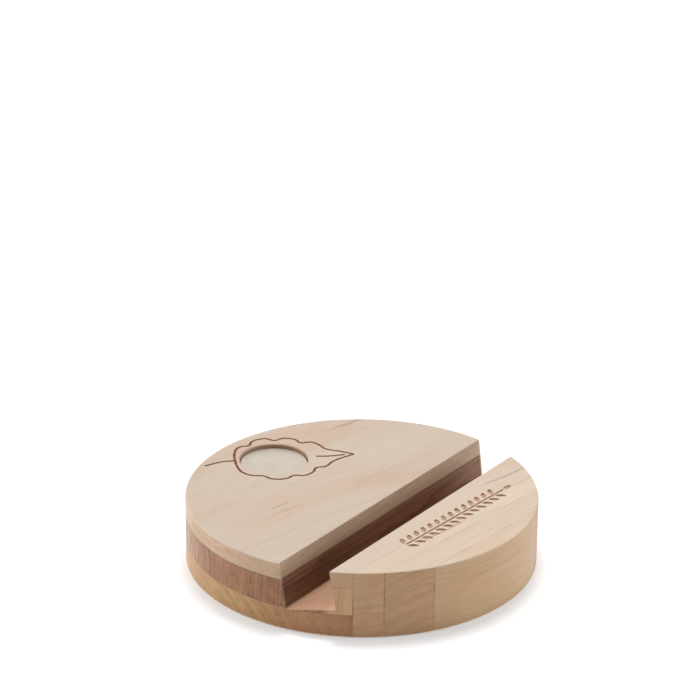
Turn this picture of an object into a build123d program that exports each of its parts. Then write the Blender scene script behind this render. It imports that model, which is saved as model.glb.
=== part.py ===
"""Round wooden phone stand: a glued block, turned to a disc and grooved for a phone.

Frame: origin at the centre of the underside, +Z up, +X along the phone groove,
-Y towards the person who looks at the phone, +Y the way the phone leans.
Millimetres throughout.

The block is glued up before it is turned. Behind the first glue line it is three
boards laid flat, one on another. In front of it are three staves on edge, as high
as the block. The groove is sawn last. It leans back, so its floor is square to its
walls, and it cuts the top and middle boards in two.
"""
import os

from build123d import *

# ---- driving dimensions ----
DIAMETER = 92.0
BASE_THICKNESS = 6.2
MIDDLE_THICKNESS = 7.5
TOP_THICKNESS = 4.3

# the phone groove, given where it meets the top face
GROOVE_FRONT_Y = -19.45
GROOVE_WIDTH = 12.45          # square to the walls
GROOVE_DEPTH = 10.6           # down the front wall
GROOVE_LEAN = 8.0             # degrees that the walls lean back from upright

# glue lines of the upright staves: turned from X, at these distances from the centre
STAVE_TURN = -4.6             # degrees
STAVE_LINES = (27.8, 33.6, 41.0)
STAVE_NAMES = ("inner_front_stave", "centre_front_stave", "outer_front_stave")

# the disc magnet and its pocket in the rear top board
MAGNET_CENTRE = (2.5, 30.6)
MAGNET_DIAMETER = 18.0
MAGNET_THICKNESS = 2.0
POCKET_GAP = 0.2              # radial glue gap
POCKET_DEPTH = 3.1

# easing of the sanded edges
RIM_EASE = 0.5
GROOVE_EASE = 0.25
POCKET_EASE = 0.25
MAGNET_EASE = 0.25

# ---- values that follow ----
RADIUS = DIAMETER / 2
HEIGHT = BASE_THICKNESS + MIDDLE_THICKNESS + TOP_THICKNESS
MIDDLE_Z = BASE_THICKNESS
TOP_Z = BASE_THICKNESS + MIDDLE_THICKNESS
REACH = 2 * DIAMETER          # size of the blocks that cut, past the disc each way


def turned_disc():
    """The whole turned block, with its top and bottom rims eased."""
    disc = Cylinder(RADIUS, HEIGHT, align=(Align.CENTER, Align.CENTER, Align.MIN))
    rims = disc.edges().filter_by(GeomType.CIRCLE)
    return fillet(rims, RIM_EASE)


def slab(low, high):
    """All of space between two heights, as a block far wider than the disc."""
    return Pos(0, 0, low) * Box(REACH, REACH, high - low, align=(Align.CENTER, Align.CENTER, Align.MIN))


def front_of(distance):
    """The space in front of a stave's glue line at this distance from the centre."""
    block = Box(REACH, REACH, REACH, align=(Align.CENTER, Align.MAX, Align.CENTER))
    return Rot(0, 0, STAVE_TURN) * Pos(0, -distance, 0) * block


def in_front_of_groove():
    """The space in front of the groove's front wall, which leans back with it."""
    block = Box(REACH, REACH, REACH, align=(Align.CENTER, Align.MAX, Align.CENTER))
    return Pos(0, GROOVE_FRONT_Y, HEIGHT) * Rot(-GROOVE_LEAN, 0, 0) * block


def groove():
    """What the saw takes out: a straight cut along X that leans back."""
    saw_height = GROOVE_DEPTH + HEIGHT
    saw = Box(REACH, GROOVE_WIDTH, saw_height, align=(Align.CENTER, Align.MIN, Align.MIN))
    return Pos(0, GROOVE_FRONT_Y, HEIGHT) * Rot(-GROOVE_LEAN, 0, 0) * Pos(0, 0, -GROOVE_DEPTH) * saw


def grooved_block():
    """The turned disc with the groove sawn across it and the groove's two top edges eased."""
    block = turned_disc() - groove()
    straight = block.edges().filter_by(Axis.X)
    return fillet(straight.group_by(Axis.Z)[-1], GROOVE_EASE)


def magnet_pocket():
    """The drilled pocket for the magnet, with a small chamfer round its mouth."""
    x, y = MAGNET_CENTRE
    radius = MAGNET_DIAMETER / 2 + POCKET_GAP
    bore = Cylinder(radius, POCKET_DEPTH, align=(Align.CENTER, Align.CENTER, Align.MAX))
    mouth = Cone(
        radius,
        radius + POCKET_EASE,
        POCKET_EASE,
        align=(Align.CENTER, Align.CENTER, Align.MAX),
    )
    return Pos(x, y, HEIGHT) * (bore + mouth)


def boards(block):
    """The three flat layers behind the staves, cut in two where the groove parts them."""
    layered = block - front_of(STAVE_LINES[0])
    front = in_front_of_groove()
    bottom = layered & slab(0, MIDDLE_Z)
    middle = layered & slab(MIDDLE_Z, TOP_Z)
    top = layered & slab(TOP_Z, HEIGHT)
    middle_parts = sorted(middle.solids(), key=lambda solid: solid.center().Y)
    return {
        "base_board": bottom,
        "middle_board_front": middle_parts[0],
        "middle_board_rear": middle_parts[-1],
        "top_board_front": top & front,
        "top_board_rear": (top - front) - magnet_pocket(),
    }


def front_staves(block):
    """The staves on edge, from the first glue line out to the front rim."""
    staves = {}
    for index, name in enumerate(STAVE_NAMES):
        stave = block & front_of(STAVE_LINES[index])
        if index + 1 < len(STAVE_LINES):
            stave = stave - front_of(STAVE_LINES[index + 1])
        staves[name] = stave
    return staves


def magnet():
    """A plain disc magnet with eased edges, glued to the floor of its pocket."""
    x, y = MAGNET_CENTRE
    disc = Cylinder(
        MAGNET_DIAMETER / 2,
        MAGNET_THICKNESS,
        align=(Align.CENTER, Align.CENTER, Align.MIN),
    )
    disc = fillet(disc.edges().filter_by(GeomType.CIRCLE), MAGNET_EASE)
    return Pos(x, y, HEIGHT - POCKET_DEPTH) * disc


def main():
    block = grooved_block()
    nodes = boards(block)
    nodes.update(front_staves(block))
    nodes["disc_magnet"] = magnet()
    os.makedirs("parts", exist_ok=True)
    for name, shape in nodes.items():
        export_step(shape, f"parts/{name}.step")
        print(f"{name}: {len(shape.solids())} solid, {shape.volume:.0f} mm3")


main()
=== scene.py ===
# %% [markdown]
# # A round wooden phone stand
#
# The stand is a block of wood that was glued up from flat boards and upright staves, turned to a
# disc on a lathe, sawn across with a leaning groove, and marked with a laser. The CAD model
# already holds every board at its true size. This lesson adds what makes it look like wood: the
# grain that runs right through each board, the glue lines, the burnt and engraved marks, the
# plated magnet, and the light of a small product studio.
#
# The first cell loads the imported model. Every board arrives as its own object, in metres, and
# stays exactly where it is.

# %% Load the frame
import math

import bpy
from mathutils import Matrix, Vector


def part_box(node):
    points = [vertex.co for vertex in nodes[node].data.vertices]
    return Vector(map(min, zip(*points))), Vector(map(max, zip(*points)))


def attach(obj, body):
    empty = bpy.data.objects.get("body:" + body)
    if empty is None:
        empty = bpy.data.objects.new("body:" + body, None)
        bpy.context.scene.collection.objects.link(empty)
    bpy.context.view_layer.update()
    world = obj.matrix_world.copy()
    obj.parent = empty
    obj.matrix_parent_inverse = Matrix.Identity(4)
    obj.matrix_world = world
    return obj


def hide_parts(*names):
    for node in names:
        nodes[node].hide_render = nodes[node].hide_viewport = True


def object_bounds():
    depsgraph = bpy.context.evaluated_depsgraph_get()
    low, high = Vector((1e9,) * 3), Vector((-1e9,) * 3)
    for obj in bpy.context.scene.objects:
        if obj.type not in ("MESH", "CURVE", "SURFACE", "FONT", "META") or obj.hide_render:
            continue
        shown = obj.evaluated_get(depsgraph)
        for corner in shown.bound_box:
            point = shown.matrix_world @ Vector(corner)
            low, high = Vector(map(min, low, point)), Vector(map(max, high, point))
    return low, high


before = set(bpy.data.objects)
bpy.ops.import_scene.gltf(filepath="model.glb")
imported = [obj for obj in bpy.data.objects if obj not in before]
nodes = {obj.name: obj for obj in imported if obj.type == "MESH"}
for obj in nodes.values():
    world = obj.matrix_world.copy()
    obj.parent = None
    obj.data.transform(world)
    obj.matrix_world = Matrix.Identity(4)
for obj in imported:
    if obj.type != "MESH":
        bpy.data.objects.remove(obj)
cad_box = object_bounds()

print("boards and pieces:", sorted(nodes))

# %% Sizes read from the frame
MM = 0.001
low, high = cad_box
radius = (high.x - low.x) / 2
height = high.z
base_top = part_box("base_board")[1].z
middle_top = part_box("middle_board_rear")[1].z
print(f"disc {2 * radius / MM:.1f} mm across, {height / MM:.1f} mm high")
print(f"glue lines at {base_top / MM:.1f} and {middle_top / MM:.1f} mm")

# %% [markdown]
# ## The camera
#
# A product photographer stands well back with a long lens, so that the disc keeps its round
# shape. The camera is placed by the direction it looks from, seen from the middle of the
# underside. It aims above the stand, where a phone would be, so the stand sits low in the frame.

# %% Camera
LENS = 145.0                  # mm
SENSOR_WIDTH = 36.0           # mm
NEAR_LIMIT = 0.01             # metres: nothing nearer to the lens is drawn
CAMERA_DISTANCE = 0.7437      # metres, from the centre of the underside
CAMERA_AZIMUTH = -54.88       # degrees: 0 looks along +Y
CAMERA_ELEVATION = 27.16      # degrees above the table
AIM_PITCH = -23.04            # degrees: the lens itself points less steeply down
AIM_TURN = 0.29               # degrees: and this much to the left of the stand
AIM_ROLL = 0.40               # degrees: the camera is tipped this much to its left


def towards(azimuth, elevation):
    """The unit vector from the stand towards a place at that azimuth and elevation."""
    a, e = math.radians(azimuth), math.radians(elevation)
    return Vector((math.sin(a) * math.cos(e), -math.cos(a) * math.cos(e), math.sin(e)))


def place_camera():
    """A still camera that looks over the stand, tipped and turned as the values above say."""
    camera = bpy.data.objects.new("camera", bpy.data.cameras.new("camera"))
    camera.data.lens = LENS
    camera.data.sensor_width = SENSOR_WIDTH
    camera.data.clip_start = NEAR_LIMIT
    bpy.context.scene.collection.objects.link(camera)
    place = Matrix.Translation(towards(CAMERA_AZIMUTH, CAMERA_ELEVATION) * CAMERA_DISTANCE)
    turned = Matrix.Rotation(math.radians(CAMERA_AZIMUTH + AIM_TURN), 4, "Z")
    pitched = Matrix.Rotation(math.radians(90 + AIM_PITCH), 4, "X")
    rolled = Matrix.Rotation(math.radians(AIM_ROLL), 4, "Z")
    camera.matrix_world = place @ turned @ pitched @ rolled
    return camera


camera = place_camera()
bpy.context.scene.camera = camera
print("camera at", [round(v, 3) for v in camera.matrix_world.translation])

# %% [markdown]
# ## Shader maths in plain Python
#
# Blender's materials are graphs of small nodes, and wiring each one by hand takes many lines.
# This class wraps a socket and lets Python's own signs stand for Math nodes, so that
# `ring * 0.5 + fibre` adds two of them. Every other kind of node comes from the method `node`.

# %% Sockets that add and multiply
class Shade:
    """A socket of a material's node tree. Sums and products of sockets add Math nodes."""

    def __init__(self, tree, socket=None):
        self.tree = tree
        self.socket = socket

    def node(self, kind, settings=None, values=None, out=0):
        """Adds a node: its settings first, then the values or links of its sockets."""
        made = self.tree.nodes.new(kind)
        for name, value in (settings or {}).items():
            setattr(made, name, value)
        for key, value in (values or {}).items():
            if isinstance(value, Shade):
                self.tree.links.new(value.socket, made.inputs[key])
            else:
                made.inputs[key].default_value = value
        return Shade(self.tree, made.outputs[out])

    def math(self, operation, other=None, first=None):
        """A Math node on this socket and another, or on a first value and this socket."""
        values = {0: self if first is None else first}
        if first is not None:
            values[1] = self
        elif other is not None:
            values[1] = other
        return self.node("ShaderNodeMath", {"operation": operation}, values)

    def __add__(self, other):
        return self.math("ADD", other)

    def __mul__(self, other):
        return self.math("MULTIPLY", other)

    def __sub__(self, other):
        return self.math("SUBTRACT", other)

    def __rsub__(self, other):
        return self.math("SUBTRACT", first=other)

    __radd__ = __add__
    __rmul__ = __mul__

    def step(self, start, end):
        """0 at start, 1 at end and beyond, with a smooth rise between them."""
        settings = {"interpolation_type": "SMOOTHSTEP"}
        if start > end:
            return 1 - self.step(end, start)
        return self.node("ShaderNodeMapRange", settings, {0: self, 1: start, 2: end})

    def mix(self, first, second, blend="MIX"):
        """The first colour where this is 0, the second where it is 1."""
        settings = {"data_type": "RGBA", "clamp_factor": True, "blend_type": blend}
        return self.node("ShaderNodeMix", settings, {0: self, 6: first, 7: second}, out=2)

    def vector(self, operation, other, out=0):
        """A Vector Math node. Its second output is the one that holds a number."""
        settings = {"operation": operation}
        values = {0: self} if other is None else {0: self, 1: other}
        return self.node("ShaderNodeVectorMath", settings, values, out)

    def noise(self, *scale, detail=2.0, roughness=0.5, out=0):
        """Smooth noise about 0.5, scaled along each axis. Output 1 holds three noises at once."""
        values = {"Vector": self.vector("MULTIPLY", scale), "Scale": 1.0}
        values.update({"Detail": detail, "Roughness": roughness})
        return self.node("ShaderNodeTexNoise", {}, values, out)

    def parts(self):
        """The x, y and z of this vector."""
        split = self.node("ShaderNodeSeparateXYZ", {}, {0: self})
        return [Shade(self.tree, output) for output in split.socket.node.outputs]


def new_material(name):
    """An empty node material, its Principled shader, and a Shade to start from."""
    material = bpy.data.materials.new(name)
    material.use_nodes = True
    principled = material.node_tree.nodes["Principled BSDF"]
    return material, principled, Shade(material.node_tree)


def place_of(start):
    """Where each point is, in metres from the object's own origin, which never leaves 0, 0, 0."""
    return start.node("ShaderNodeTexCoord", out=3)


def normal_of(start):
    """The way each point's face looks."""
    return start.node("ShaderNodeTexCoord", out=1)


def feed(principled, name, value):
    """Links a Shade to one of the shader's sockets, or sets a plain value on it."""
    socket = principled.inputs[name]
    if isinstance(value, Shade):
        value.tree.links.new(value.socket, socket)
    else:
        socket.default_value = value


TO_MM = (1 / MM,) * 3         # from metres to millimetres, along each axis
print("shader maths ready")

# %% [markdown]
# ## Wood that runs right through
#
# A picture of wood laid on each face shows at once that it is only skin deep, because its lines
# do not meet at the edges. Real boards are slices of a log: rings round a centre line, the pith,
# and fibres along it. So this material works out where every point of a board sat in its log. The
# same rings then show as long waves on the top and as short bars on the end grain at the rim, and
# they meet at every edge.
#
# A board is described as a sawyer would: which way its grain runs, where the pith was, how far
# apart the rings are, and its colours. A board is seldom one colour all over, so two of them turn
# to pale sapwood in front of the groove, and the bottom one grows redder towards the front. The
# two top boards were one board before the groove was sawn, and so were the two middle ones, so
# each pair shares one material.

# %% How each board was cut
def colour(red, green, blue):
    """Screen values, 0 to 255, turned into linear ones for shaders by the standard sRGB curve."""
    values = []
    for part in (red, green, blue):
        share = part / 255
        values.append(share / 12.92 if share < 0.04045 else ((share + 0.055) / 1.055) ** 2.4)
    return (*values, 1.0)


class Board:
    """Where a board sat in its log, in millimetres and degrees, and its colours."""

    def __init__(
        self, turn, tilt, pith, ring, contrast, scorch_and_shade, pale, dark, side, end,
        sapwood=None, redder=None,
    ):
        self.turn = turn          # way the grain runs, turned from X
        self.tilt = tilt          # how much the grain runs out of the board's face
        self.pith = pith          # the pith's place across the grain and above the table
        self.ring = ring          # distance between rings
        self.contrast = contrast  # how strongly the late wood shows
        self.scorch_and_shade = scorch_and_shade      # how far the saw browned the walls of the groove, plus painted shade darkening them
        self.pale = pale          # the early wood, on a sanded face
        self.dark = dark          # the late wood
        self.side = side          # a tint of the turned rim and the groove's walls
        self.end = end            # a further tint of the rim where it cuts across the fibres
        self.sapwood = sapwood    # face and rim colours in front of the groove, or None
        self.redder = redder      # a further tint of the rim towards the front, or None


STAVE_TURN = -4.6             # degrees, the way the upright staves run
STAVE_LINES = (27.8, 33.6, 41.0)  # mm from the disc's middle to the glue line behind each

BOARDS = {
    "top_wood": Board(
        turn=-12.0, tilt=1.6, pith=(14.0, -62.0), ring=1.9, contrast=0.13, scorch_and_shade=0.35,
        pale=colour(206, 189, 171), dark=colour(162, 130, 105),
        side=colour(238, 228, 213), end=colour(247, 236, 229),
        sapwood=(colour(214, 196, 176), colour(223, 197, 167)),
    ),
    "middle_wood": Board(
        turn=0.0, tilt=0.6, pith=(-150.0, 6.0), ring=1.5, contrast=0.34, scorch_and_shade=0.95,
        pale=colour(195, 158, 130), dark=colour(138, 96, 68),
        side=colour(228, 225, 211), end=colour(224, 195, 172),
        sapwood=(colour(226, 200, 170), colour(238, 227, 204)),
    ),
    "base_wood": Board(
        turn=-3.0, tilt=1.0, pith=(34.0, -26.0), ring=1.9, contrast=0.20, scorch_and_shade=0.3,
        pale=colour(206, 174, 142), dark=colour(150, 108, 76),
        side=colour(231, 226, 205), end=colour(243, 231, 207),
        redder=colour(239, 211, 206),
    ),
    "inner_wood": Board(
        turn=STAVE_TURN, tilt=0.8, pith=(-22.0, -95.0), ring=2.3, contrast=0.12, scorch_and_shade=0.0,
        pale=colour(219, 201, 179), dark=colour(168, 134, 106),
        side=colour(220, 195, 166), end=colour(243, 236, 229),
    ),
    "centre_wood": Board(
        turn=STAVE_TURN, tilt=-1.4, pith=(-78.0, -60.0), ring=2.1, contrast=0.11, scorch_and_shade=0.0,
        pale=colour(217, 198, 176), dark=colour(164, 128, 100),
        side=colour(214, 187, 156), end=colour(240, 227, 211),
    ),
    "outer_wood": Board(
        turn=STAVE_TURN, tilt=0.5, pith=(-34.0, 130.0), ring=1.7, contrast=0.085, scorch_and_shade=0.0,
        pale=colour(218, 199, 177), dark=colour(172, 140, 112),
        side=colour(221, 204, 175), end=colour(234, 214, 191),
    ),
}
print(len(BOARDS), "woods described")

# %% [markdown]
# ## Rings, fibres and pores
#
# The ring pattern starts as the distance from the pith. Slow noise bends it, because no tree is
# perfectly round, and a second noise makes some years wider than others. Within each year the
# colour darkens slowly through the summer and stops sharply at winter, like a saw tooth with its
# corner rubbed off. Fibres and pores are noise that is stretched along the grain.

# %% How coarse the wood's patterns are
# Scales of noise, in lumps per millimetre: along the grain, then both ways across it.
RING_BEND = (0.011, 0.045, 0.045)
YEAR_STRENGTH = (0.006, 0.09, 0.09)
FINE_FIBRE = (0.035, 2.6, 2.6)
BROAD_FIBRE = (0.012, 0.5, 0.5)
PORE = (0.28, 8.0, 8.0)
STREAK_BEND = (0.03, 0.12, 0.12)
STREAK = (0.022, 0.42, 0.42)

RING_SHIFT = 10.0             # mm that the slow noise moves a ring
STREAK_SHIFT = 7.0            # mm that it moves a streak
YEAR_CHANGE = 0.45            # how fast the years' widths change from one to the next
YEAR_SHIFT = 3.0              # rings that the uneven years gain or lose together
SUMMER = (0.2, 0.9)           # part of a year over which the wood darkens
WINTER = (1.0, 0.93)          # part over which it turns pale again
FAINTEST_YEAR = 0.3           # how strongly the weakest years show
FINE_SHARE = 0.45             # fine fibres' share of the fibre pattern, beside the broad ones
PORE_EDGE = (0.66, 0.74)      # noise from which a pore starts, and is full: higher is rarer
STREAK_EDGE = (0.70, 0.77)
STRENGTH_EDGE = (0.25, 0.75)  # noise at which a year is faintest, and strongest
print(f"fibres about {1 / FINE_FIBRE[1]:.1f} mm wide, pores about {1 / PORE[1]:.2f} mm")

# %% Rings and fibres
def into_log(place, board):
    """An object-space place, in metres, as millimetres along and across the board's log."""
    turn = (0.0, math.radians(board.tilt), -math.radians(board.turn))
    offset = (0.0, -board.pith[0], -board.pith[1])
    values = {"Vector": place, "Scale": TO_MM, "Rotation": turn, "Location": offset}
    return place.node("ShaderNodeMapping", {"vector_type": "POINT"}, values)


def year_rings(log, board):
    """0 in the pale early wood, rising to 1 in the late wood of each year."""
    wander = log.noise(*RING_BEND, out=1).vector("MULTIPLY", (0.0, RING_SHIFT, RING_SHIFT))
    bent = log.vector("ADD", wander)
    distance = bent.vector("MULTIPLY", (0.0, 1.0, 1.0)).vector("LENGTH", None, out=1)
    years = distance * (1 / board.ring)
    values = {"W": years * YEAR_CHANGE, "Scale": 1.0}
    uneven = distance.node("ShaderNodeTexNoise", {"noise_dimensions": "1D"}, values)
    phase = (years + uneven * YEAR_SHIFT).math("FRACT")
    strength = log.noise(*YEAR_STRENGTH).step(*STRENGTH_EDGE)
    shown = strength * (1 - FAINTEST_YEAR) + FAINTEST_YEAR
    return phase.step(*SUMMER) * phase.step(*WINTER) * shown


def fibres(log):
    """Fine streaks along the grain, about 0.5."""
    fine = log.noise(*FINE_FIBRE, detail=4.0, roughness=0.6)
    broad = log.noise(*BROAD_FIBRE, detail=3.0)
    return fine * FINE_SHARE + broad * (1 - FINE_SHARE)


def pores(log):
    """1 in the small dark dashes that the wood's vessels leave, 0 elsewhere."""
    return log.noise(*PORE, detail=1.0).step(*PORE_EDGE)


def dark_streaks(log):
    """1 in the few thin, curved streaks where a tree laid down gum, 0 elsewhere."""
    wander = log.noise(*STREAK_BEND, out=1).vector("MULTIPLY", (0.0, STREAK_SHIFT, STREAK_SHIFT))
    return log.vector("ADD", wander).noise(*STREAK, detail=1.0).step(*STREAK_EDGE)


print("rings, fibres, pores and streaks ready")

# %% [markdown]
# ## Glue lines, end grain and saw marks
#
# Three more things tell the eye that this is a glued and turned block. A glue line is a hair of
# darker film where two boards meet, and it is never quite even. The rim was turned across the
# ends of the fibres, which drink in light and finish, so it is darker and warmer than the faces.
# And the groove shows the tracks of the saw, with a little scorching where the blade rubbed;
# painted shade browns its walls further, and painted light makes its floor lighter. These masks
# are worked out from each point's place, so they too meet at every edge.

# %% Glue lines and cut faces
FILM = 0.12                   # mm, half the width of a glue line
FILM_UNEVEN = 0.10            # mm that the noise adds to it
FILM_LUMPS = (0.35, 0.35, 0.35)  # scales of that noise, in lumps per millimetre
RIM_BAND = (0.9, 0.4)         # mm in from the rim, where the groove's faces give way to it
FLOOR_FROM = (1.0, 3.0)       # mm above the table: higher than the underside
FLOOR_TO = (10.0, 12.0)       # mm above the table: lower than the top faces


def glue_lines(here, planes):
    """1 on the planes, given as a unit normal and a distance in millimetres, 0 away from them."""
    uneven = here.noise(*FILM_LUMPS, detail=3.0)
    film = None
    for normal, distance in planes:
        off = (here.vector("DOT_PRODUCT", normal, out=1) - distance).math("ABSOLUTE")
        line = 1 - (off - uneven * FILM_UNEVEN).step(0.0, FILM)
        film = line if film is None else film.math("MAXIMUM", line)
    return film


def stave_plane(index):
    """The glue plane in front of which stave number index stands."""
    turn = math.radians(STAVE_TURN)
    return ((math.sin(turn), -math.cos(turn), 0.0), STAVE_LINES[index])


UP = (0.0, 0.0, 1.0)
BASE_PLANE = (UP, base_top / MM)
MIDDLE_PLANE = (UP, middle_top / MM)
GLUE = {
    "top_wood": (MIDDLE_PLANE, stave_plane(0)),
    "middle_wood": (MIDDLE_PLANE, BASE_PLANE, stave_plane(0)),
    "base_wood": (BASE_PLANE, stave_plane(0)),
    "inner_wood": (stave_plane(0), stave_plane(1)),
    "centre_wood": (stave_plane(1), stave_plane(2)),
    "outer_wood": (stave_plane(2),),
}


def groove_faces(here, steep):
    """Two masks: 1 on the walls of the groove, and 1 on its floor."""
    x, y, z = here.parts()
    from_axis = (x * x + y * y).math("SQRT")
    off_rim = 1 - from_axis.step(radius / MM - RIM_BAND[0], radius / MM - RIM_BAND[1])
    level = z.step(*FLOOR_FROM) * (1 - z.step(*FLOOR_TO)) * (1 - steep)
    return off_rim * steep, off_rim * level


print("glue lines on", sum(len(planes) for planes in GLUE.values()), "board edges")

# %% [markdown]
# ## The wood material
#
# The colour is built up in the order in which the wood came by it: first the years and fibres of
# the tree, then what the lathe, the saw and the glue did to its faces, together with painted shade
# on the groove's walls and painted light on its floor. A mask says where each of them shows, and
# it mixes in a tint there. Most tints multiply, as a thin stain would, so that the grain still
# shows through. The same masks then drive the gloss and the relief, so a pore is at once darker,
# rougher and deeper.

# %% Tints and amounts
GRAIN_TINT = colour(120, 78, 50)
GLUE_TINT = colour(96, 62, 40)
# The groove walls' brown: saw scorch, with painted shade added on top of it.
SCORCH_AND_SHADE_TINT = colour(140, 88, 56)
# A lighter tan for the groove's floor: partly the tone of fresh-cut wood, partly painted light.
FRESH_CUT_AND_PAINTED_LIGHT = colour(214, 165, 133)
BLUSH_TINT = colour(252, 240, 233)

STEEP = (0.9, 0.3)            # upward part of a face's normal, from level to steep
ACROSS_FIBRES = (0.75, 0.97)  # how squarely a face cuts the fibres, from side to end grain
SAPWOOD_EDGE = (-16.6, -18.6)  # mm from the middle, close to the groove's front wall
SAPWOOD_WAVE = (0.03, 0.08, 0.08)
SAPWOOD_SHIFT = 2.0           # mm that the noise moves that edge
REDDER_REACH = (10.0, -26.0)  # mm from the middle, where a board starts to redden and is reddest
BLUSH = (0.02, 0.06, 0.06)    # scales of noise, in lumps per millimetre
TURNING = (0.06, 0.06, 5.0)   # the lathe's fine lines, level round the rim
SAW_TRACKS = (0.03, 3.2, 3.2)
GLUE_PATCHES = (0.12, 0.12, 0.2)
BLUSH_EDGE = (0.45, 0.75)     # noise from which each starts, and is full
SAW_EDGE = (0.35, 0.8)
PATCH_EDGE = (0.35, 0.7)

FIBRE_SHOWS = 3.2             # how strongly each shows beside the rings
TURNING_SHOWS = 1.6
STEEP_SHOWS = 1.3             # how much more all of them show on steep faces
SAPWOOD_HIDES = 0.8           # and how much less in sapwood
PORE_DARK = 0.22
STREAK_DARK = 0.32
STREAK_LOST = 0.24            # what a streak loses of that on steep faces
FLOOR_CUT_AND_PAINTED_LIGHT = 0.65            # how far the groove's floor takes a lighter colour: fresh-cut wood, and painted light

MATT = 0.58                   # roughness of a sanded face
BURNISHED = 0.16              # what the lathe's polish takes off it on the rim
SAWN = 0.25                   # what the saw adds to it in the groove
RELIEF_HEIGHT = 0.00006       # metres
print("tints and amounts ready")

# %% Sawn and sanded wood
def make_wood(name, board, planes):
    """Sawn and sanded wood, cut from its log as the board says, with its glue lines."""
    material, principled, start = new_material(name)
    place = place_of(start)
    facing = normal_of(start)
    here = place.vector("MULTIPLY", TO_MM)
    log = into_log(place, board)

    late = year_rings(log, board)
    fibre = fibres(log)
    pore = pores(log)
    streak = dark_streaks(log)

    # which way each face looks
    steep = facing.parts()[2].math("ABSOLUTE").step(*STEEP)
    grain_way = math.radians(board.turn)
    along = (math.cos(grain_way), math.sin(grain_way), 0.0)
    end = facing.vector("DOT_PRODUCT", along, out=1).math("ABSOLUTE").step(*ACROSS_FIBRES)
    wall, floor = groove_faces(here, steep)

    # what the tree gave it
    pale, side, show = board.pale, board.side, steep * STEEP_SHOWS + 1.0
    if board.sapwood:
        across = here.parts()[1] + here.noise(*SAPWOOD_WAVE) * SAPWOOD_SHIFT
        sapwood = across.step(*SAPWOOD_EDGE)
        pale = sapwood.mix(board.pale, board.sapwood[0])
        side = sapwood.mix(board.side, board.sapwood[1])
        show = show * (1 - sapwood * SAPWOOD_HIDES)
    turned = (here.noise(*TURNING, detail=3.0) - 0.5) * (1 - end * 0.7)
    figure = late + (fibre - 0.5) * FIBRE_SHOWS + turned * steep * TURNING_SHOWS
    wood = (figure * show * board.contrast + 0.12).mix(pale, board.dark)
    blush = log.noise(*BLUSH).step(*BLUSH_EDGE)
    wood = blush.mix(wood, BLUSH_TINT, "MULTIPLY")
    marks = pore * PORE_DARK + streak * (STREAK_DARK - steep * STREAK_LOST)
    wood = marks.mix(wood, GRAIN_TINT)

    # what the lathe and the saw did to it, with painted shade on the groove's walls and painted
    # light on its floor
    wood = steep.mix(wood, side, "MULTIPLY")
    wood = (end * steep).mix(wood, board.end, "MULTIPLY")
    if board.redder:
        forward = here.parts()[1].step(*REDDER_REACH)
        wood = (forward * steep).mix(wood, board.redder, "MULTIPLY")
    saw = here.noise(*SAW_TRACKS, detail=3.0)
    # painted shade: the groove's walls are browned further than the saw's scorch alone would make
    # them
    scorch_and_shade = wall * (saw.step(*SAW_EDGE) * 0.4 + 0.6) * board.scorch_and_shade
    # painted light: the groove's floor turns lighter, partly as fresh-cut wood is
    wood = (floor * FLOOR_CUT_AND_PAINTED_LIGHT).mix(wood, FRESH_CUT_AND_PAINTED_LIGHT)
    wood = scorch_and_shade.mix(wood, SCORCH_AND_SHADE_TINT, "MULTIPLY")

    # the glue between it and its neighbours
    glue = glue_lines(here, planes) * (1 - floor)
    patchy = here.noise(*GLUE_PATCHES, detail=1.0).step(*PATCH_EDGE)
    seen = (patchy * 0.55 + 0.15) * (steep * 0.5 + 0.5) + wall * 0.5
    wood = (glue * seen).mix(wood, GLUE_TINT)

    rough = MATT + pore * 0.15 + wall * SAWN - late * 0.05 - steep * BURNISHED
    relief = fibre * 0.25 - pore * 0.5 - glue * 0.8 + (wall + floor) * saw * 1.6
    bump = {"Height": relief, "Strength": 0.5, "Distance": RELIEF_HEIGHT}
    feed(principled, "Base Color", wood)
    feed(principled, "Roughness", rough)
    feed(principled, "Normal", start.node("ShaderNodeBump", {}, bump))
    return material


woods = {name: make_wood(name, board, GLUE[name]) for name, board in BOARDS.items()}
print("materials:", sorted(woods))

# %% Wood on the boards
WOOD_OF = {
    "top_board_rear": "top_wood",
    "top_board_front": "top_wood",
    "middle_board_rear": "middle_wood",
    "middle_board_front": "middle_wood",
    "base_board": "base_wood",
    "inner_front_stave": "inner_wood",
    "centre_front_stave": "centre_wood",
    "outer_front_stave": "outer_wood",
}


def dress(piece, material):
    """Puts one material on the whole piece."""
    piece.data.materials.clear()
    piece.data.materials.append(material)


for node_name, wood_name in WOOD_OF.items():
    dress(nodes[node_name], woods[wood_name])
    print(node_name, "is", wood_name)

# %% [markdown]
# ## Boards that carry marks
#
# A laser burnt a leaf round the magnet and engraved a twig along the front. Bump alone would
# leave these marks flat at a low angle, so they are cut into the mesh. A CAD board's own mesh is
# never changed. A copy of it is made instead: its loose triangles are merged, its flat faces are
# dissolved into single ones, and the copy then stands for the board.

# %% Copies of the marked boards
MERGE_WITHIN = 0.001          # mm
FLAT_WITHIN = 0.05            # degrees


def select_only(piece):
    """Leaves one object selected and active."""
    bpy.ops.object.select_all(action="DESELECT")
    piece.select_set(True)
    bpy.context.view_layer.objects.active = piece


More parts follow.
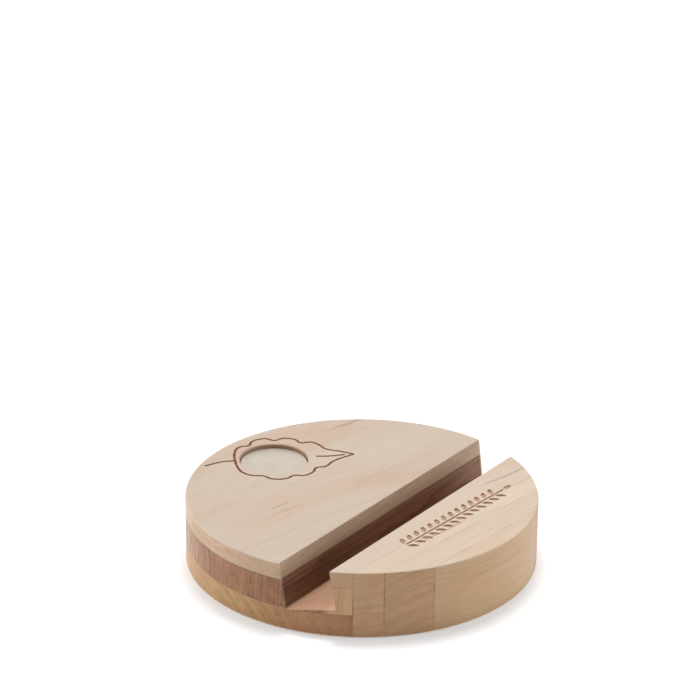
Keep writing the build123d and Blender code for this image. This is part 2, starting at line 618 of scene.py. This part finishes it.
def merged_copy(node_name, name):
    """A copy of a CAD board with its triangles joined into clean, flat faces."""
    piece = bpy.data.objects.new(name, nodes[node_name].data.copy())
    bpy.context.scene.collection.objects.link(piece)
    select_only(piece)
    bpy.ops.mesh.customdata_custom_splitnormals_clear()
    bpy.ops.object.mode_set(mode="EDIT")
    bpy.ops.mesh.select_all(action="SELECT")
    bpy.ops.mesh.remove_doubles(threshold=MERGE_WITHIN * MM)
    bpy.ops.mesh.dissolve_limited(angle_limit=math.radians(FLAT_WITHIN))
    bpy.ops.object.mode_set(mode="OBJECT")
    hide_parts(node_name)
    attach(piece, "root")
    print(f"{name}: {len(piece.data.vertices)} corners, {len(piece.data.polygons)} faces")
    return piece


rear_top = merged_copy("top_board_rear", "marked_rear_top_board")
front_top = merged_copy("top_board_front", "marked_front_top_board")
inner_stave = merged_copy("inner_front_stave", "marked_inner_stave")

# %% [markdown]
# ## Burnt leaf
#
# A laser line is a narrow round-bottomed furrow with charred walls. It follows a plain leaf: two
# wavy sides that meet at a point, a middle rib and a stem. The leaf is drawn with curves, which
# take a round bevel and become tubes. The tubes overlap where the lines meet, so they are first
# remeshed into one skin. A little less than half of it lies under the surface of the board, and a
# Boolean modifier takes that out. The new faces keep the tubes' own material, so the furrow is
# burnt and the board round it is not.

# %% Leaf drawn with curves
magnet_low, magnet_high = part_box("disc_magnet")
magnet_centre = (magnet_low + magnet_high) / 2
LEAF_TURN = -46.0             # degrees, the way from the stem to the tip
LEAF_START = -10.4            # mm from the magnet's centre to where the stem joins the leaf
# Points on each line, in millimetres from there: towards the tip, then across to the left.
LEAF_LEFT = (
    (0.0, 0.0), (0.3, 4.2), (2.0, 8.3), (4.8, 9.2), (5.8, 11.4), (9.6, 12.8), (12.0, 11.4),
    (14.4, 12.4), (17.6, 11.2), (18.8, 9.0), (21.6, 9.0), (23.8, 6.6), (24.8, 4.4), (28.2, 2.4),
    (32.0, 0.0),
)
LEAF_RIGHT = (
    (0.0, 0.0), (0.2, -3.8), (1.2, -7.4), (3.6, -9.6), (6.6, -10.4), (8.2, -12.2), (12.2, -12.6),
    (14.6, -11.0), (17.0, -11.4), (19.8, -9.4), (20.8, -7.2), (23.4, -6.6), (26.0, -3.6),
    (32.0, 0.0),
)
LEAF_STEM = ((0.0, 0.0), (-2.8, -0.1), (-5.6, -0.9), (-8.3, -2.2))
LEAF_RIB = ((21.8, 0.0), (25.5, -0.4), (29.6, 0.0))
LINE_RADIUS = 0.38            # mm
LINE_RISE = 0.06              # mm, how far the line's centre is above the surface
SKIN_GRAIN = 0.1              # mm, how fine the skin's mesh is


def leaf_place(along, across):
    """A place on the leaf, in millimetres along its middle line and across it, on the top face."""
    turn = math.radians(LEAF_TURN)
    x = (LEAF_START + along) * math.cos(turn) - across * math.sin(turn)
    y = (LEAF_START + along) * math.sin(turn) + across * math.cos(turn)
    return Vector((magnet_centre.x + x * MM, magnet_centre.y + y * MM, height + LINE_RISE * MM))


def burnt_line(name, places):
    """A round tube through the places, with smooth bends and closed ends, as a mesh."""
    curve = bpy.data.curves.new(name, "CURVE")
    curve.dimensions = "3D"
    curve.bevel_depth = LINE_RADIUS * MM
    curve.bevel_resolution = 3
    curve.resolution_u = 10
    curve.use_fill_caps = True
    spline = curve.splines.new("BEZIER")
    spline.bezier_points.add(len(places) - 1)
    for point, place in zip(spline.bezier_points, places):
        point.co = place
        point.handle_left_type = "AUTO"
        point.handle_right_type = "AUTO"
    piece = bpy.data.objects.new(name, curve)
    bpy.context.scene.collection.objects.link(piece)
    select_only(piece)
    bpy.ops.object.convert(target="MESH")
    return bpy.context.object


def join(pieces, name):
    """Makes several mesh objects one."""
    bpy.ops.object.select_all(action="DESELECT")
    for piece in pieces:
        piece.select_set(True)
    bpy.context.view_layer.objects.active = pieces[0]
    bpy.ops.object.join()
    bpy.context.object.name = name
    return bpy.context.object


def made_one_skin(piece, grain):
    """Remeshes overlapping tubes into one closed skin, which a Boolean needs."""
    select_only(piece)
    piece.data.remesh_voxel_size = grain * MM
    bpy.ops.object.voxel_remesh()
    return piece


leaf_lines = [
    burnt_line("leaf_left_side", [leaf_place(s, v) for s, v in LEAF_LEFT]),
    burnt_line("leaf_right_side", [leaf_place(s, v) for s, v in LEAF_RIGHT]),
    burnt_line("leaf_stem", [leaf_place(s, v) for s, v in LEAF_STEM]),
    burnt_line("leaf_rib", [leaf_place(s, v) for s, v in LEAF_RIB]),
]
burnt_leaf = made_one_skin(join(leaf_lines, "burnt_leaf"), SKIN_GRAIN)
print("leaf lines:", len(burnt_leaf.data.polygons), "faces")

# %% [markdown]
# ## Engraved twig
#
# The twig along the front is cut wider and flat-bottomed, and is only lightly browned. It has a
# pair of leaves at every step and one at its tip. A leaf is the lens where two round discs
# overlap, so two cylinders are crossed with a Boolean set to Intersect. The one leaf is then
# copied along the twig. The leaves stop just short of the stem, as a laser designer would leave
# them, so that thin bridges of wood hold the pattern together.

# %% One small leaf
LEAF_LENGTH = 3.1             # mm
LEAF_HALF_WIDTH = 0.72        # mm
ENGRAVE_DEPTH = 0.35          # mm
ARC_FACES = 72                # round each disc
ARC_RADIUS = ((LEAF_LENGTH / 2) ** 2 + LEAF_HALF_WIDTH ** 2) / (2 * LEAF_HALF_WIDTH)


def disc_beside(side):
    """A thin round disc whose edge passes the origin at half a leaf's width, to one side."""
    bpy.ops.object.select_all(action="DESELECT")
    bpy.ops.mesh.primitive_cylinder_add(
        vertices=ARC_FACES,
        radius=ARC_RADIUS * MM,
        depth=2 * ENGRAVE_DEPTH * MM,
        location=(0, side * (LEAF_HALF_WIDTH - ARC_RADIUS) * MM, 0),
    )
    bpy.ops.object.transform_apply(location=True, rotation=True, scale=True)
    return bpy.context.object


def make_leaf():
    """A pointed leaf along X, centred on the origin, as a flat-bottomed cutter."""
    leaf, other = disc_beside(1), disc_beside(-1)
    select_only(leaf)
    overlap = leaf.modifiers.new("overlap", "BOOLEAN")
    overlap.operation = "INTERSECT"
    overlap.solver = "EXACT"
    overlap.object = other
    bpy.ops.object.modifier_apply(modifier=overlap.name)
    bpy.data.objects.remove(other)
    return leaf


small_leaf = make_leaf()
print("one small leaf:", len(small_leaf.data.polygons), "faces")

# %% The twig
TWIG_MIDDLE = (2.4, -27.7)    # mm
TWIG_TURN = -3.4              # degrees
TWIG_LENGTH = 41.0            # mm
TWIG_WIDTH = 0.55             # mm
TWIG_PAIRS = 14
FIRST_FOOT = -0.1             # steps from the twig's end to the foot of its first pair
BARE_TIP = 0.4                # steps of twig beyond its pairs
LEAF_LEAN = 50.0              # degrees that each leaf is turned away from the twig
LEAF_GAP = 0.55               # mm from the twig's middle to a leaf's lower tip
TIP_GAP = 0.3                 # mm from the end of the twig to its last leaf


def leaf_copy(leaf, x, y, turn):
    """A copy of the leaf with its own mesh, turned, at a place on the twig in millimetres."""
    copy = bpy.data.objects.new("twig_leaf", leaf.data.copy())
    bpy.context.scene.collection.objects.link(copy)
    place = Matrix.Translation((x * MM, y * MM, 0))
    copy.data.transform(place @ Matrix.Rotation(math.radians(turn), 4, "Z"))
    return copy


def make_twig(leaf):
    """A stem with pairs of leaves and one at its tip, at its place on the top, as one cutter."""
    bpy.ops.object.select_all(action="DESELECT")
    bpy.ops.mesh.primitive_cube_add(size=MM)
    bpy.ops.transform.resize(value=(TWIG_LENGTH, TWIG_WIDTH, 2 * ENGRAVE_DEPTH))
    bpy.ops.object.transform_apply(location=True, rotation=True, scale=True)
    parts = [bpy.context.object]
    step = TWIG_LENGTH / (TWIG_PAIRS + BARE_TIP)
    lean = math.radians(LEAF_LEAN)
    reach_x = math.cos(lean) * LEAF_LENGTH / 2
    reach_y = math.sin(lean) * LEAF_LENGTH / 2 + LEAF_GAP
    for index in range(TWIG_PAIRS):
        x = -TWIG_LENGTH / 2 + (index + FIRST_FOOT) * step + reach_x
        parts.append(leaf_copy(leaf, x, reach_y, LEAF_LEAN))
        parts.append(leaf_copy(leaf, x, -reach_y, -LEAF_LEAN))
    parts.append(leaf_copy(leaf, TWIG_LENGTH / 2 + LEAF_LENGTH / 2 + TIP_GAP, 0, 0))
    bpy.data.objects.remove(leaf)
    twig = join(parts, "twig")
    place = Matrix.Translation((TWIG_MIDDLE[0] * MM, TWIG_MIDDLE[1] * MM, height))
    twig.data.transform(place @ Matrix.Rotation(math.radians(TWIG_TURN), 4, "Z"))
    return twig


twig = make_twig(small_leaf)
print("twig:", len(twig.data.polygons), "faces")

# %% [markdown]
# ## Burnt and engraved finishes
#
# A laser doesn't paint a line, it heats the wood, and the soft early wood chars sooner than the
# hard late wood. So the brown is uneven along a line and follows the fibres. One function makes
# both finishes: a strong burn for the leaf and a light one for the twig.

# %% Charred wood
CHAR_PATCHES = (0.9, 0.9, 0.9)  # scales of noise, in lumps per millimetre
CHAR_FIBRES = (0.4, 6.0, 6.0)
CHAR_RELIEF = 0.00008         # metres


def make_charred(name, light, dark):
    """Wood browned by a laser: uneven along the line, with its fibres still showing."""
    material, principled, start = new_material(name)
    here = place_of(start).vector("MULTIPLY", TO_MM)
    patch = here.noise(*CHAR_PATCHES, detail=3.0)
    fibre = here.noise(*CHAR_FIBRES, detail=3.0)
    burn = (patch * 0.6 + fibre * 0.4).step(0.32, 0.68)
    feed(principled, "Base Color", burn.mix(light, dark))
    feed(principled, "Roughness", 0.72 + burn * 0.18)
    bump = {"Height": fibre, "Strength": 0.6, "Distance": CHAR_RELIEF}
    feed(principled, "Normal", start.node("ShaderNodeBump", {}, bump))
    return material


burnt = make_charred("burnt_line", colour(166, 104, 62), colour(108, 66, 40))
browned = make_charred("browned_engraving", colour(212, 178, 150), colour(182, 143, 114))
print("finishes:", burnt.name, browned.name)

# %% [markdown]
# ## Cutting the marks
#
# A laser takes wood away, and so does a Boolean modifier set to Difference. The exact solver is
# slower than the fast one, but it copes with cutters that only graze the top. The twig crosses
# the glue line between a board and a stave, so it is cut from both. Cutting leaves long, thin
# faces on the flat top, and weighted normals keep the light on them even.

# %% Cut the marks
SMOOTH_BELOW = 25.0           # degrees between two faces


def engrave(piece, cutter, finish):
    """Takes the cutter out of the piece. The new faces keep the cutter's finish."""
    dress(cutter, finish)
    select_only(piece)
    boolean = piece.modifiers.new("engrave", "BOOLEAN")
    boolean.operation = "DIFFERENCE"
    boolean.solver = "EXACT"
    boolean.material_mode = "TRANSFER"
    boolean.object = cutter
    bpy.ops.object.modifier_apply(modifier=boolean.name)
    print(f"{piece.name} after {cutter.name}: {len(piece.data.polygons)} faces")


def smooth_again(piece):
    """Smooth shading on the eased edges, flat shading on the flats."""
    select_only(piece)
    bpy.ops.object.shade_smooth_by_angle(angle=math.radians(SMOOTH_BELOW))
    weighted = piece.modifiers.new("weighted", "WEIGHTED_NORMAL")
    weighted.keep_sharp = True
    bpy.ops.object.modifier_apply(modifier=weighted.name)


dress(rear_top, woods["top_wood"])
dress(front_top, woods["top_wood"])
dress(inner_stave, woods["inner_wood"])
engrave(rear_top, burnt_leaf, burnt)
engrave(front_top, twig, browned)
engrave(inner_stave, twig, browned)
for piece in (rear_top, front_top, inner_stave):
    smooth_again(piece)
for cutter in (burnt_leaf, twig):
    bpy.data.objects.remove(cutter)
print("marks cut")

# %% [markdown]
# ## Plated magnet
#
# The magnet is a pressed and ground disc with a thin nickel plating. Nickel is a slightly warm
# grey. Tumbling before the plating leaves the surface satin rather than mirror bright, so only
# part of it is treated as metal and the rest scatters light as a matt surface does. Handling
# leaves fine scratches that cross each other.

# %% Nickel plating
NICKEL = colour(202, 192, 178)
NICKEL_WORN = colour(168, 160, 147)
TUMBLED = 0.55                # share of the surface that still mirrors; the rest scatters
CLOUDS = (0.22, 0.22, 0.22)   # scales of noise, in lumps per millimetre
ONE_WAY = (0.25, 5.0, 1.0)
OTHER_WAY = (4.0, 0.3, 1.0)
HAIRLINE = (0.66, 0.72)       # noise from which a scratch starts, and is full
SCRATCH_DEPTH = 0.000008      # metres


def make_plating():
    """Satin nickel with faint cloudiness and crossing hairline scratches."""
    material, principled, start = new_material("nickel_plating")
    here = place_of(start).vector("MULTIPLY", TO_MM)
    cloud = here.noise(*CLOUDS, detail=3.0)
    one_way = here.noise(*ONE_WAY, detail=1.0).step(*HAIRLINE)
    other_way = here.noise(*OTHER_WAY, detail=1.0).step(*HAIRLINE)
    scratch = one_way.math("MAXIMUM", other_way)
    dull = cloud.step(0.3, 0.8) * 0.3 + scratch * 0.3
    feed(principled, "Base Color", dull.mix(NICKEL, NICKEL_WORN))
    feed(principled, "Metallic", TUMBLED)
    feed(principled, "Roughness", 0.40 + cloud * 0.14 + scratch * 0.10)
    bump = {"Height": cloud * 0.3 - scratch, "Strength": 0.25, "Distance": SCRATCH_DEPTH}
    feed(principled, "Normal", start.node("ShaderNodeBump", {}, bump))
    return material


dress(nodes["disc_magnet"], make_plating())
print("magnet plated")

# %% [markdown]
# ## Table and light
#
# The stand sits on a plain white light table: a matt sheet that is also lit faintly from below,
# which turns it white. A large softbox overhead and a small one beside it light the top, and being
# high up they leave only a narrow shadow at the foot of the rim. A low panel behind gives the
# magnet something bright to mirror, and one softbox on each side lights the ends of the rim. The
# camera's own side has none, so the rim falls off towards its middle and the glue lines read.

# %% Studio
WHITE = (1.0, 1.0, 1.0, 1.0)
TABLE_SIZE = 8.0              # metres
TABLE_WHITE = (0.91, 0.93, 0.95, 1.0)
TABLE_GLOW = 0.19
WORLD_STRENGTH = 0.265
SOFTBOXES = (
    # name, azimuth and elevation in degrees, distance, width and height in metres, watts
    ("overhead box", 125.0, 80.0, 1.5, 1.6, 1.6, 7.8),
    ("key box", 125.0, 74.5, 1.5, 0.35, 0.35, 7.0),
    ("back panel", 125.0, 27.0, 1.5, 1.3, 0.7, 3.0),
    ("left box", -154.0, 14.0, 1.3, 1.3, 0.5, 13.5),
    ("right box", 38.0, 14.0, 1.3, 1.3, 0.5, 9.0),
)


def add_softbox(name, azimuth, elevation, distance, wide, tall, watts):
    """A rectangular area light that faces the stand."""
    light = bpy.data.lights.new(name, "AREA")
    light.shape = "RECTANGLE"
    light.size = wide
    light.size_y = tall
    light.energy = watts
    box = bpy.data.objects.new(name, light)
    bpy.context.scene.collection.objects.link(box)
    way = towards(azimuth, elevation)
    box.location = way * distance
    box.rotation_mode = "QUATERNION"
    box.rotation_quaternion = way.to_track_quat("Z", "Y")


def lay_table():
    """A wide, plain, matt white table that glows faintly."""
    bpy.ops.object.select_all(action="DESELECT")
    bpy.ops.mesh.primitive_plane_add(size=TABLE_SIZE, location=(0, 0, 0))
    table = bpy.context.object
    table.name = "table"
    material, principled, _ = new_material("table")
    feed(principled, "Base Color", TABLE_WHITE)
    feed(principled, "Emission Color", WHITE)
    feed(principled, "Emission Strength", TABLE_GLOW)
    feed(principled, "Roughness", 0.9)
    feed(principled, "Specular IOR Level", 0.1)
    dress(table, material)


def light_world(strength):
    """An even, faint, neutral glow from all round, like the walls of a white room."""
    world = bpy.data.worlds.new("studio")
    world.use_nodes = True
    background = world.node_tree.nodes["Background"]
    background.inputs["Color"].default_value = WHITE
    background.inputs["Strength"].default_value = strength
    bpy.context.scene.world = world


lay_table()
light_world(WORLD_STRENGTH)
for softbox in SOFTBOXES:
    add_softbox(*softbox)
bpy.context.scene.view_settings.view_transform = "Standard"
print("softboxes:", [softbox[0] for softbox in SOFTBOXES])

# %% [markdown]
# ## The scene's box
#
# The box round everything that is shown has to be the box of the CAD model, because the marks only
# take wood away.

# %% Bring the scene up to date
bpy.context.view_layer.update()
